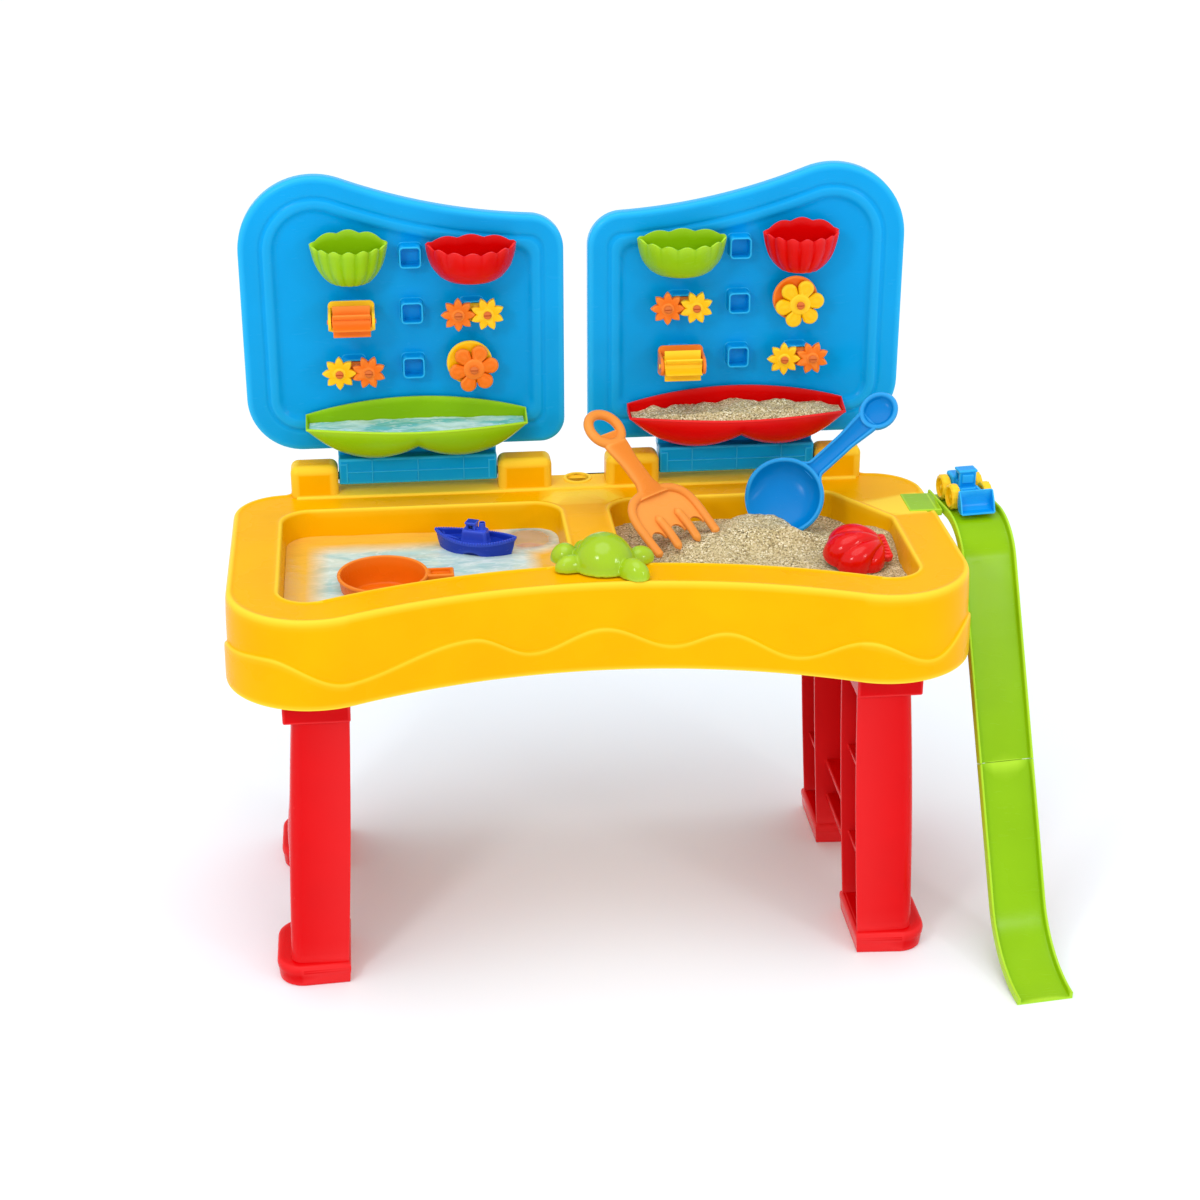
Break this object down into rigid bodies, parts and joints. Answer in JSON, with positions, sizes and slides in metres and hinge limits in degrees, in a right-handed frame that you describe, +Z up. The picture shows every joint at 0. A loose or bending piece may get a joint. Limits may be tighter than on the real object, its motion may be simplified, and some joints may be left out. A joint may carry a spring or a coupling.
{
  "type": "sand and water table",
  "caption": "Children's sand and water table: two-basin tray on two end frames, two hinged lids with funnels, gears, wheels and troughs, a slide, a toy loader and loose sand toys.",
  "frame": {"origin": "middle of the whole object's bounding box, on the floor", "axes": "+X to the right seen by a child in front of the table, +Y towards the lids at the back, +Z up"},
  "size_m": [0.8032, 0.4171, 0.733],
  "materials": {
    "tray_yellow": "moulded, semi-gloss",
    "lid_blue": "moulded, semi-gloss",
    "leg_red": "moulded, semi-gloss",
    "toy_green": "moulded, semi-gloss",
    "toy_red": "moulded, semi-gloss",
    "toy_orange": "moulded, semi-gloss",
    "rake_orange": "moulded, semi-gloss",
    "gear_yellow": "moulded, semi-gloss",
    "gear_orange": "moulded, semi-gloss",
    "boat_blue": "moulded, semi-gloss",
    "loader_blue": "moulded, semi-gloss",
    "wheel_yellow": "moulded, semi-gloss",
    "cap_orange": "moulded, semi-gloss",
    "water": "clear",
    "sand": "dry loose grains"
  },
  "bodies": {
    "root": {"tray": "tray_yellow", "tray_skirt": "tray_yellow", "basin_left": "tray_yellow", "basin_right": "tray_yellow", "leg_sockets": "tray_yellow", "hinge_blocks": "tray_yellow", "parasol_tube": "tray_yellow", "leg_frame_left": "leg_red", "leg_frame_right": "leg_red", "water": "water", "sand": "sand"},
    "lid_left": {"lid_left": "lid_blue", "hinge_pins_left": "lid_blue", "trough_left": "toy_green", "trough_water": "water", "funnel_left_outer": "toy_green", "funnel_left_inner": "toy_red", "gear_bar_a": "gear_orange", "gear_bar_b": "gear_yellow", "flower_disc_left": "gear_yellow", "paddle_bracket_left": "gear_yellow", "pin_caps_left": "cap_orange"},
    "lid_right": {"lid_right": "lid_blue", "hinge_pins_right": "lid_blue", "trough_right": "toy_red", "trough_sand": "sand", "funnel_right_inner": "toy_green", "funnel_right_outer": "toy_red", "gear_bar_c": "gear_orange", "gear_bar_d": "gear_orange", "flower_disc_right": "gear_orange", "paddle_bracket_right": "gear_orange", "pin_caps_right": "cap_orange"},
    "slide": {"slide_upper": "toy_green", "slide_lower": "toy_green"},
    "loader": {"loader_chassis": "loader_blue", "loader_cab": "loader_blue"},
    "gear_a1": {"gear_a1": "gear_yellow"},
    "gear_a2": {"gear_a2": "gear_orange"},
    "gear_b1": {"gear_b1": "gear_orange"},
    "gear_b2": {"gear_b2": "gear_yellow"},
    "gear_c1": {"gear_c1": "gear_orange"},
    "gear_c2": {"gear_c2": "gear_yellow"},
    "gear_d1": {"gear_d1": "gear_yellow"},
    "gear_d2": {"gear_d2": "gear_orange"},
    "flower_wheel_left": {"flower_wheel_left": "gear_orange"},
    "flower_wheel_right": {"flower_wheel_right": "gear_yellow"},
    "paddle_wheel_left": {"paddle_wheel_left": "gear_orange"},
    "paddle_wheel_right": {"paddle_wheel_right": "gear_yellow"},
    "loader_bucket": {"loader_bucket": "loader_blue"},
    "loader_front_wheels": {"loader_front_wheels": "wheel_yellow"},
    "loader_rear_wheels": {"loader_rear_wheels": "wheel_yellow"},
    "drain_plug": {"drain_plug": "rake_orange"},
    "rake": {"rake": "rake_orange"},
    "shovel": {"shovel": "loader_blue"},
    "shell_mould": {"shell_mould": "leg_red"},
    "turtle_mould": {"turtle_mould": "toy_green"},
    "boat": {"boat": "boat_blue"},
    "cup": {"cup": "toy_orange"}
  },
  "joints": [
    {"name": "lid_left_hinge", "type": "hinge", "parent": "root", "child": "lid_left", "pos_m": [-0.21061, 0.18138, 0.426], "axis": [1, 0, 0], "range_deg": [0, 55]},
    {"name": "lid_right_hinge", "type": "hinge", "parent": "root", "child": "lid_right", "pos_m": [0.11939, 0.18138, 0.426], "axis": [1, 0, 0], "range_deg": [0, 25]},
    {"name": "gear_a1_spin", "type": "hinge", "parent": "lid_left", "child": "gear_a1", "pos_m": [-0.28512, 0.17438, 0.538], "axis": [0, 1, 0], "continuous": true},
    {"name": "gear_a2_spin", "type": "hinge", "parent": "lid_left", "child": "gear_a2", "pos_m": [-0.25611, 0.17438, 0.538], "axis": [0, 1, 0], "continuous": true},
    {"name": "gear_b1_spin", "type": "hinge", "parent": "lid_left", "child": "gear_b1", "pos_m": [-0.16512, 0.17438, 0.595], "axis": [0, 1, 0], "continuous": true},
    {"name": "gear_b2_spin", "type": "hinge", "parent": "lid_left", "child": "gear_b2", "pos_m": [-0.13612, 0.17438, 0.595], "axis": [0, 1, 0], "continuous": true},
    {"name": "gear_c1_spin", "type": "hinge", "parent": "lid_right", "child": "gear_c1", "pos_m": [0.04489, 0.17438, 0.595], "axis": [0, 1, 0], "continuous": true},
    {"name": "gear_c2_spin", "type": "hinge", "parent": "lid_right", "child": "gear_c2", "pos_m": [0.07389, 0.17438, 0.595], "axis": [0, 1, 0], "continuous": true},
    {"name": "gear_d1_spin", "type": "hinge", "parent": "lid_right", "child": "gear_d1", "pos_m": [0.16489, 0.17438, 0.538], "axis": [0, 1, 0], "continuous": true},
    {"name": "gear_d2_spin", "type": "hinge", "parent": "lid_right", "child": "gear_d2", "pos_m": [0.19389, 0.17438, 0.538], "axis": [0, 1, 0], "continuous": true},
    {"name": "flower_left_spin", "type": "hinge", "parent": "lid_left", "child": "flower_wheel_left", "pos_m": [-0.15061, 0.17438, 0.538], "axis": [0, 1, 0], "continuous": true},
    {"name": "flower_right_spin", "type": "hinge", "parent": "lid_right", "child": "flower_wheel_right", "pos_m": [0.17938, 0.17438, 0.595], "axis": [0, 1, 0], "continuous": true},
    {"name": "paddle_left_spin", "type": "hinge", "parent": "lid_left", "child": "paddle_wheel_left", "pos_m": [-0.27061, 0.16238, 0.595], "axis": [1, 0, 0], "continuous": true},
    {"name": "paddle_right_spin", "type": "hinge", "parent": "lid_right", "child": "paddle_wheel_right", "pos_m": [0.05939, 0.16238, 0.538], "axis": [1, 0, 0], "continuous": true},
    {"name": "slide_lift", "type": "slide", "parent": "root", "child": "slide", "axis": [0, 0, 1], "range_m": [0, 0.04]},
    {"name": "loader_lift", "type": "slide", "parent": "slide", "child": "loader", "axis": [0, 0, 1], "range_m": [0, 0.06]},
    {"name": "loader_front_axle", "type": "hinge", "parent": "loader", "child": "loader_front_wheels", "pos_m": [0.34166, 0.08125, 0.4182], "axis": [0.994, 0.1097, 0], "continuous": true},
    {"name": "loader_rear_axle", "type": "hinge", "parent": "loader", "child": "loader_rear_wheels", "pos_m": [0.33869, 0.10809, 0.4182], "axis": [0.994, 0.1097, 0], "continuous": true},
    {"name": "loader_bucket_tilt", "type": "hinge", "parent": "loader", "child": "loader_bucket", "pos_m": [0.3427, 0.07181, 0.4232], "axis": [0.994, 0.1097, 0], "range_deg": [-35, 0]},
    {"name": "drain_plug_lift", "type": "slide", "parent": "root", "child": "drain_plug", "axis": [0, 0, 1], "range_m": [0, 0.03]},
    {"name": "rake_lift", "type": "slide", "parent": "root", "child": "rake", "axis": [0, -0.6, 0.8], "range_m": [0, 0.1]},
    {"name": "shovel_lift", "type": "slide", "parent": "root", "child": "shovel", "axis": [0, -0.6, 0.8], "range_m": [0, 0.1]},
    {"name": "shell_mould_lift", "type": "slide", "parent": "root", "child": "shell_mould", "axis": [0, 0, 1], "range_m": [0, 0.06]},
    {"name": "turtle_mould_lift", "type": "slide", "parent": "root", "child": "turtle_mould", "axis": [0, 0, 1], "range_m": [0, 0.06]},
    {"name": "boat_lift", "type": "slide", "parent": "root", "child": "boat", "axis": [0, 0, 1], "range_m": [0, 0.05]},
    {"name": "cup_lift", "type": "slide", "parent": "root", "child": "cup", "axis": [0, 0, 1], "range_m": [0, 0.06]}
  ],
  "couplings": [
    {"joint": "gear_a2_spin", "follows": "gear_a1_spin", "ratio": -1},
    {"joint": "gear_b2_spin", "follows": "gear_b1_spin", "ratio": -1},
    {"joint": "gear_c2_spin", "follows": "gear_c1_spin", "ratio": -1},
    {"joint": "gear_d2_spin", "follows": "gear_d1_spin", "ratio": -1}
  ]
}
